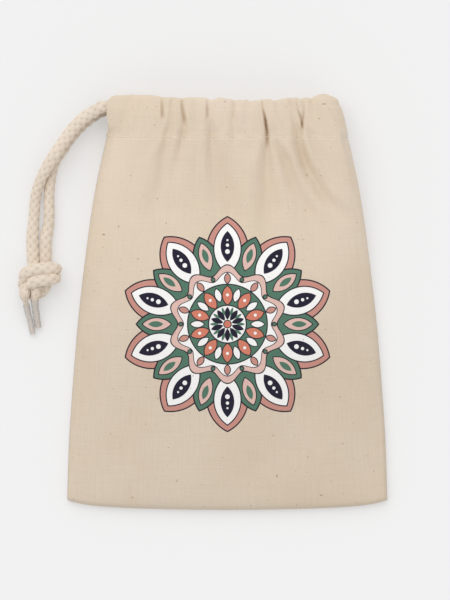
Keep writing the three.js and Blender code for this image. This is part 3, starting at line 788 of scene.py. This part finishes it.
def panelRows(fine):
    # from the bottom edge up to the stitch line, in shares
    wideRows, closeRows = (1.95, 0.95) if fine else (4, 3)
    rows = [0, 0.12, 0.3, 0.6, 1.0, 1.5, 2.2, 3.2, *np.arange(4.6, 118, wideRows)]
    rows += [*np.arange(118, bag["pouchLength"] - 3, closeRows)]
    rows += [*np.linspace(bag["pouchLength"] - 2.6, bag["pouchLength"], 8)]
    return np.array(rows) / bag["pouchLength"]


def casingRows(fine):
    # places from the stitches over the cord to the top fold, and back down inside
    fall, top = (-0.047, -0.075) if fine else (-0.1, -0.14)
    upper = [1.97, 1.94, 1.9, 1.86, *np.arange(1.81, 1.0, fall), *np.arange(1.0, 0.3, top),
             0.27, 0.2, 0.14, 0.09, 0.05, 0.025, 0.01, 0.0]
    lower = [0.01, 0.03, 0.07, 0.14, 0.26, 0.4, 0.6, 0.85, 1.1, 1.3, 1.5, 1.65, 1.78, 1.88, 1.95]
    return upper, lower


def groove(y, depth, half):
    return depth * np.exp(-((y - stitchY) / half) ** 2)


def rippled(x, y, settings):
    height, scale, seed = settings
    return height * ripples(x, y, scale, seed)


def pouchGrid(xs, ups, front):
    across, up = np.meshgrid(xs / halfMouth, ups)
    x = across * panelHalf(up)
    y = panelY(across, up)
    sideIn = (1 - np.abs(across)) * panelHalf(up)
    bottomIn = y - panelY(across, np.zeros_like(up))
    reach = bag["edgeRound"] + (0 if front else sheet["backMouthReach"]) * smooth(0.8, 1, up)
    full = 1.0  # 0 on the outline, 1 past the cloth's rounded edge
    for inside, wide in ((sideIn, reach), (bottomIn, bag["edgeRound"])):
        share = np.clip(inside / wide, 0, 1)
        full = full * np.sqrt(np.clip(1 - (1 - share) ** 2, 0, 1))
    seamZ = bag["seamHeight"] + seamLift(up) + bag["bottomPuff"] * smooth(0.08, 0, up)
    if front:
        z = frontHeight(across, up) - foldField(x, y) * smooth(0, 4, sideIn) * smooth(0, 5, bottomIn)
        z = z + rippled(x, y, sheet["pouchRipple"]) * smooth(0, 12, sideIn) * smooth(0, 14, bottomIn)
        z = mix(seamZ, z - groove(y, sheet["stitchDip"], sheet["stitchHalf"]), full)
    else:
        z = np.maximum(seamZ * (1 - full), groove(y, sheet["backRise"], sheet["backHalf"]))
    # the last value is the share of painted shade along the outline
    return x, y, z, np.exp(-(np.minimum(sideIn, bottomIn) / sheet["rimHalf"]) ** 2)


def casingGrid(xs, upper, lower, front, topX, topZ):
    # the casing and its turn round the right side; topX and topZ are the pouch's top row
    across, place = np.meshgrid(xs, np.array(upper + lower))
    side = np.array([1] * len(upper) + [-1] * len(lower))[:, None] * np.ones_like(across)
    along = np.clip((across + halfMouth) / (stitchRight + halfMouth), 0, 1)
    turn = np.clip((across - stitchRight) / (halfMouth - stitchRight), 0, 1)
    half = outerHalf(place) * side
    x = casingX(along, place)
    y = casingY(along + sheet["turnRun"] * turn, place)
    below = np.maximum(0, place - 1)
    straight = frontMiddle(along, place) + half if front else bag["restLift"] + seatHalf(place) - half
    z = straight
    if front:
        outer = bag["pleatRise"] * np.minimum(1, place) + (bag["foldDepth"] - bag["pleatRise"]) * below
        gather = gatherShare(across, np.zeros_like(across))
        z = np.where(side > 0, crestHeight(along, place), z)
        z = z + gather * np.where(side > 0, outer, bag["foldDepth"] * below ** 2)
        limit = mix(*sheet["creaseLimits"], smooth(1.15, 1.5, place))
        room = smooth(-0.05, 0.3, place) * (1 - smooth(0.0, 0.6, turn))
        z = np.where(side > 0, z - limit * np.tanh(foldField(x, y) / limit) * room, z)
        z = z + np.where(side > 0, rippled(x, y, sheet["casingRipple"]), 0) * smooth(0, 0.1, along)
    # quarter turn at the right
    angle = (1 - turn) * math.pi / 2
    reach = bag["turnGap"] / 2 + seatHalf(place) + half
    turnZ = bag["restLift"] + 2 * seatHalf(place) + bag["turnGap"] / 2 + (1 if front else -1) * reach * np.sin(angle)
    climb = mix(1, sheet["turnRise"], turn) if front else sheet["turnRise"] * turn
    turnZ = turnZ + endRise(place) * climb
    x = np.where(turn > 0, casingRight(place) + reach * np.cos(angle), x)
    z = np.where(turn > 0, turnZ + (z - straight) * (1 - smooth(0, 0.5, turn)), z)
    # the last of the casing runs into the pouch's top row
    join = np.where(side > 0, smooth(2.0, 1.62, place), smooth(2.05, 1.7, place))
    drop = np.where(side > 0, 0, sheet["hemDrop"] if front else -sheet["hemDrop"])
    x = mix(topX[None, :], x, join)
    z = mix(topZ[None, :] - drop, z, join)
    if front:  # the hem's two layers stay apart
        inner = (side < 0) & (place > 1.1)
        z = np.where(inner, np.minimum(z, readAbove(z, upper, lower) - sheet["hemGap"]), z)
        z = z - np.where(side > 0, groove(y, sheet["stitchDip"], sheet["stitchHalf"]), 0) * join
    # the last value is the share of painted shade at the top fold
    return x, y, z, np.exp(-(place / 0.05) ** 2)


def readAbove(z, upper, lower):
    # for each lower row, the height of the upper row at the same place
    order = np.argsort(upper)
    out = z.copy()
    for row, place in enumerate(lower):
        at = np.interp(place, np.array(upper)[order], order)
        low, high = int(math.floor(at)), int(math.ceil(at))
        out[len(upper) + row] = mix(z[low], z[high], at - low)
    return out


def sheetGrid(front):
    # the front cloth has the fine grid
    xs, ups = columnPlaces(front), panelRows(front)
    pouch = pouchGrid(xs, ups, front)
    casing = casingGrid(xs, *casingRows(front), front, pouch[0][-1], pouch[2][-1])
    x, y, z, rim = (np.vstack(pair) for pair in zip(pouch, casing))
    # flat cloth: across as cut, and the length along the middle thread
    flatU = (xs / halfMouth * bag["bottomWidth"] / 2)[None, :] * np.ones_like(x)
    middle = x.shape[1] // 2
    flatV = runAlong(np.stack([y[:, middle], z[:, middle]], axis=1))[:, None] * np.ones_like(x)
    # painted shade: a brown share inside the creases, a faint one in the soft furrows and one along the rims, kept
    # in the crease attribute
    deep = np.clip(furrows(creases, x, y) / sheet["creaseDeep"], 0, 1) ** 1.5
    deep = np.maximum(deep, sheet["foldShade"] * np.clip(furrows(folds, x, y) / 1.1, 0, 1))
    return x, y, z, flatU, flatV, np.maximum(deep, sheet["rimShade"] * rim), len(ups)


def makeSheet(name, front, looks):
    x, y, z, u, v, deep, stitchRow = sheetGrid(front)
    points = np.stack([x, y, z], axis=2).reshape(-1, 3) * mm
    piece = makeMesh(name, points, gridFaces(*x.shape, front))
    addUv(piece, u * mm, v * mm)
    addAttribute(piece, "crease", deep if front else np.zeros_like(deep))
    for look in looks:
        piece.data.materials.append(look)
    pick(piece)
    wall = piece.modifiers.new("wall", "SOLIDIFY")
    wall.thickness = sheet["wall"] * mm
    wall.offset = -1
    wall.material_offset = 1
    wall.material_offset_rim = 1
    bpy.ops.object.modifier_apply(modifier="wall")
    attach(piece, "root")
    heights = [corner.co.z / mm for corner in piece.data.vertices]
    print(f"{name}: {len(piece.data.polygons)} faces, z {min(heights):.2f} to {max(heights):.2f} mm")
    return piece, (x, y, z, stitchRow)


# cotton: weave, slubs, streaks and seed flecks, the printed rosette, and painted shade in the creases, along the
# rims and towards the bottom
cotton = {
    "colour": linear(222, 206, 187),
    "warmColour": linear(219, 202, 180),
    # the painted shade's colour in the creases, furrows and rims
    "creaseShadeColour": linear(162, 128, 92),
    "fleckColour": linear(128, 96, 64),
    "flecks": [  # cells per metre, stretch, the share of cells without one, and its size in cells
        (170, (1, 1, 1), 0.4, 0.038), (85, (0.5, 1, 1), 0.66, 0.022), (80, (1, 0.5, 1), 0.7, 0.02),
    ],
    "threadPitch": 0.42,
    "paintedShadeFrom": (-0.04, 0.045), "paintedShadeEnds": (0.905, 1.022),  # painted shade: a little darker at the bottom than at the mouth
}
rosette = {
    "middle": (0.1, -11.2),
    "petals": 10,
    "edge": 0.06,  # how softly a printed edge ends
    "ink": linear(38, 36, 46),
    "rose": linear(203, 146, 134),
    "paleRose": linear(226, 190, 180),
    "green": linear(86, 122, 104),
    "white": linear(249, 248, 246),
    "navy": linear(36, 33, 52),
    "salmon": linear(214, 130, 108),
    # from the outside in: a leaf has start, end and half width, a dot place and size, a ring size and wave;
    # leaves and dots stand on the petals' axes or between them; last the fill and the ink line's half width
    "shapes": [
        ("leaf", "on", (20, 53.6, 10.4), "rose", 0.34), ("leaf", "between", (20, 45.5, 6.6), "green", 0.34),
        ("leaf", "between", (28, 42.5, 3.2), "paleRose", 0.24), ("leaf", "between", (32, 39.5, 1.5), "green", 0),
        ("leaf", "on", (25, 50.4, 6.8), "white", 0.3), ("leaf", "on", (31, 46.5, 3.4), "navy", 0),
        ("dot", "on", (36.2, 1.15), "white", 0), ("dot", "on", (39.4, 0.8), "white", 0),
        ("dot", "on", (41.9, 0.5), "white", 0), ("ring", "", (27.2, 2.4), "paleRose", 0.3),
        ("ring", "", (23.9, 2.0), "white", 0.24), ("leaf", "on", (20.2, 25.4, 1.5), "rose", 0.24),
        ("dot", "between", (23.3, 1.0), "green", 0.24), ("ring", "", (19.9, 0), "green", 0.3),
        ("leaf", "on", (9.5, 19.2, 2.6), "salmon", 0.24), ("leaf", "between", (11.5, 18.6, 1.7), "white", 0.24),
        ("dot", "on", (14.6, 0.75), "white", 0), ("ring", "", (9.4, 0), "white", 0.3),
        ("leaf", "on", (2.2, 8.6, 1.35), "navy", 0), ("leaf", "between", (4.6, 8.8, 0.7), "green", 0),
        ("ring", "", (1.9, 0), "salmon", 0.24),
    ],
}


def printRosette(place, colour):
    # a ten-sided pattern worked out from its own shapes; x and y are in mm from its middle
    def length(a, b):
        return calc("SQRT", calc("ADD", calc("MULTIPLY", a, a), calc("MULTIPLY", b, b)))

    apart = addNode("SeparateXYZ", {0: place})
    x, y = [calc("MULTIPLY_ADD", apart[axis], 1000.0, -rosette["middle"][axis]) for axis in (0, 1)]
    radius = length(x, y)
    sector = 2 * math.pi / rosette["petals"]
    turn = calc("DIVIDE", calc("ARCTAN2", x, y), sector)
    off = calc("ABSOLUTE", calc("SUBTRACT", turn, calc("ROUND", turn)))
    off = calc("MULTIPLY", off, sector)
    axes = {where: [calc("MULTIPLY", radius, calc(kind, angle)) for kind in ("COSINE", "SINE")]
            for where, angle in (("on", off), ("between", calc("SUBTRACT", sector / 2, off)))}

    def leaf(at, start, end, width):
        bend = (((end - start) / 2) ** 2 + width**2) / (2 * width)
        a = calc("SUBTRACT", at[0], (start + end) / 2)
        return calc("SUBTRACT", length(a, calc("ADD", at[1], bend - width)), bend)

    def dot(at, middle, size):
        return calc("SUBTRACT", length(calc("SUBTRACT", at[0], middle), at[1]), size)

    def ring(at, size, wave):
        if wave:
            lobes = calc("COSINE", calc("MULTIPLY", off, float(rosette["petals"])))
            size = calc("MULTIPLY_ADD", lobes, wave, size)
        return calc("SUBTRACT", radius, size)

    soft = rosette["edge"]
    for kind, where, sizes, fill, ink in rosette["shapes"]:
        shape = {"leaf": leaf, "dot": dot, "ring": ring}[kind](axes.get(where), *sizes)
        if ink:
            colour = mixColour(ramp(shape, ink + soft, ink - soft), colour, rosette["ink"])
        colour = mixColour(ramp(shape, soft - ink, -soft - ink), colour, rosette[fill])
    return colour


def fleckMask(flat, scale, stretch, chance, size):
    # few cells have a fleck, and each has its own size and strength
    cells = addNode("TexVoronoi", {"Vector": stretched(flat, stretch), "Scale": scale},
                    voronoi_dimensions="2D")
    own = addNode("SeparateColor", {0: cells["Color"]})
    room = calc("MULTIPLY", ramp(own[0], chance, 1.0), size * 1.6)
    mask = ramp(calc("SUBTRACT", cells["Distance"], room), size * 0.5, -size * 0.5)
    mask = calc("MULTIPLY", mask, ramp(own[0], chance, chance + 0.05))
    return calc("MULTIPLY", mask, calc("MULTIPLY_ADD", calc("POWER", own[1], 3.0), 0.65, 0.15))


def clothMaterial(name, printed):
    material, shader = newMaterial(name)
    coordinates = addNode("TexCoord")
    place, flat = coordinates["Object"], coordinates["UV"]
    patches = noise(place, 26, 3.0)
    warps = noise(stretched(flat, (1, 0.035, 1)), 1400, 2.0, 0.7)
    wefts = noise(stretched(flat, (0.035, 1, 1)), 1300, 2.0, 0.7)
    slubs = noise(stretched(flat, (0.16, 1, 1)), 620, 3.0, 0.65)
    grain = noise(flat, 1900, 2.0, 0.7)
    colour = mixColour(ramp(patches, 0.3, 0.7), cotton["colour"], cotton["warmColour"])
    if printed:
        colour = printRosette(place, colour)
    threads = total(ramp(warps, 0.25, 0.75, -0.025, 0.025), ramp(wefts, 0.25, 0.75, -0.02, 0.02),
                    ramp(slubs, 0.62, 0.85, 0.0, 0.04), ramp(grain, 0.3, 0.7, -0.03, 0.03))
    height = addNode("SeparateXYZ", {0: place})[1]
    # the threads' own tone, and a painted shade that darkens towards the bottom
    tone = total(threads, ramp(height, *cotton["paintedShadeFrom"], *cotton["paintedShadeEnds"]))
    colour = shaded(colour, tone)
    for settings in cotton["flecks"]:
        colour = mixColour(fleckMask(flat, *settings), colour, cotton["fleckColour"])
    # painted shade, read from the crease attribute
    paintedShade = calc("MULTIPLY", attributeOf("crease"), 0.9)
    # the weave itself: warp over weft and back, at the thread's pitch
    apart = addNode("SeparateXYZ", {0: flat})
    turns = math.pi / (cotton["threadPitch"] * mm)
    weave = calc("MULTIPLY", *(calc("SINE", calc("MULTIPLY", apart[axis], turns)) for axis in (0, 1)))
    body = total(threads, calc("MULTIPLY", patches, 0.1))
    feed(shader, {
        "Base Color": mixColour(paintedShade, colour, cotton["creaseShadeColour"]), "Roughness": 0.92,
        "Sheen Weight": 0.12, "Specular IOR Level": 0.2,
        "Normal": bump(body, 0.5, 0.0012, bump(weave, 0.25, 0.00008)),
    })
    return material


frontLook = clothMaterial("cotton_printed", True)
plainLook = clothMaterial("cotton_plain", False)
frontCloth, frontGrid = makeSheet("front_cloth", True, [frontLook, plainLook])
backCloth, backGrid = makeSheet("back_cloth", False, [plainLook, plainLook])
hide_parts("front_panel", "front_casing")
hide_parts("back_panel", "back_casing")
print("sheets made")


# the hem's stitches
stitching = {
    "pitch": 2.7, "uneven": (0.94, 1.06),
    "length": 2.0, "thickness": 0.42, "flatness": 0.8,
    "above": 0.25,  # from the sheet's stitch row
    "margin": 1.6,  # free at both ends of the line
    "lift": 0.1, "liftSpread": (-0.02, 0.03),
    "colour": linear(240, 230, 214),
    "twistColour": linear(222, 208, 188),
}


def threadMaterial():
    material, shader = newMaterial("cotton_thread")
    place = addNode("TexCoord")["Object"]
    twist = noise(stretched(place, (1, 0.4, 1)), 4200)
    feed(shader, {
        "Base Color": mixColour(ramp(twist, 0.35, 0.65), stitching["twistColour"], stitching["colour"]),
        "Roughness": 0.75, "Sheen Weight": 0.2, "Normal": bump(twist, 0.5, 0.0002),
    })
    return material


def makeStitches(name, grid, upwards, look):
    x, y, z, stitchRow = grid
    row = stitchRow - 1
    line = np.stack([x[row], y[row] + stitching["above"], z[row]], axis=1)
    run = runAlong(line)
    # one stitch, a flattened grain along x
    bpy.ops.mesh.primitive_uv_sphere_add(segments=8, ring_count=5, radius=stitching["thickness"] / 2 * mm,
                                         location=(0, 0, 0), rotation=(0, math.pi / 2, 0))
    bpy.ops.object.transform_apply(location=True, rotation=True, scale=True)
    bpy.ops.object.mode_set(mode="EDIT")
    bpy.ops.mesh.select_all(action="SELECT")
    bpy.ops.transform.resize(value=(stitching["length"] / stitching["thickness"], 1, stitching["flatness"]),
                             center_override=(0, 0, 0))
    bpy.ops.object.mode_set(mode="OBJECT")
    bpy.ops.object.shade_smooth()
    pattern = bpy.context.object
    shape = np.zeros(len(pattern.data.vertices) * 3)
    pattern.data.vertices.foreach_get("co", shape)
    shape = shape.reshape(-1, 3)
    spread = random.Random(12)
    copies = []
    at = stitching["margin"]
    while at < run[-1] - stitching["margin"]:
        start, end = [np.array([np.interp(at + reach, run, line[:, axis]) for axis in range(3)])
                      for reach in (-stitching["length"] / 2, stitching["length"] / 2)]
        along = (end - start) / np.linalg.norm(end - start)
        up = np.array([0, 0, 1.0 if upwards else -1.0])
        up = up - along * np.dot(up, along)
        up /= np.linalg.norm(up)
        middle = (start + end) / 2 + up * (stitching["lift"] + spread.uniform(*stitching["liftSpread"]))
        placed = shape @ np.array([along, np.cross(up, along), up]) + middle * mm
        copy = pattern.copy()
        copy.data = pattern.data.copy()
        copy.data.vertices.foreach_set("co", placed.ravel())
        bpy.context.scene.collection.objects.link(copy)
        copies.append(copy)
        at += stitching["pitch"] * spread.uniform(*stitching["uneven"])
    bpy.data.objects.remove(pattern)
    pick(copies[0])
    for copy in copies:
        copy.select_set(True)
    bpy.ops.object.join()
    piece = bpy.context.object
    piece.name = name
    piece.data.materials.append(look)
    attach(piece, "root")
    return piece


threadLook = threadMaterial()
frontStitches = makeStitches("hem_stitches_front", frontGrid, True, threadLook)
backStitches = makeStitches("hem_stitches_back", backGrid, False, threadLook)
print("stitches made")


# floor and light
studio = {
    "floorSize": 4,  # in metres
    "floorLevel": -0.0001,
    "floorShade": 0.57,  # the floor is lit from below as well, like a light table
    "floorGlow": 0.3,
    "sunPlace": (-0.4, 0.6, 1.2),
    "sunStrength": 1.05,
    "sunTilt": (math.radians(-35), math.radians(-18), 0),
    "sunSpread": math.radians(65),
    "skyStrength": 0.77,
}
bpy.ops.mesh.primitive_plane_add(size=studio["floorSize"], location=(0, 0, studio["floorLevel"]))
floor = bpy.context.object
floor.name = "floor"
floorLook, floorShader = newMaterial("floor")
feed(floorShader, {
    "Base Color": (studio["floorShade"], studio["floorShade"], studio["floorShade"], 1),
    "Emission Color": (1, 1, 1, 1), "Emission Strength": studio["floorGlow"],
    "Roughness": 0.95, "Specular IOR Level": 0.0,
})
floor.data.materials.append(floorLook)

bpy.ops.object.light_add(type="SUN", location=studio["sunPlace"], rotation=studio["sunTilt"])
sun = bpy.context.object
sun.data.energy = studio["sunStrength"]
sun.data.angle = studio["sunSpread"]
world = bpy.data.worlds.new("studio")
bpy.context.scene.world = world
world.use_nodes = True
feed(world.node_tree.nodes["Background"], {0: (1, 1, 1, 1), 1: studio["skyStrength"]})
bpy.context.scene.view_settings.view_transform = "Standard"
print("studio made")
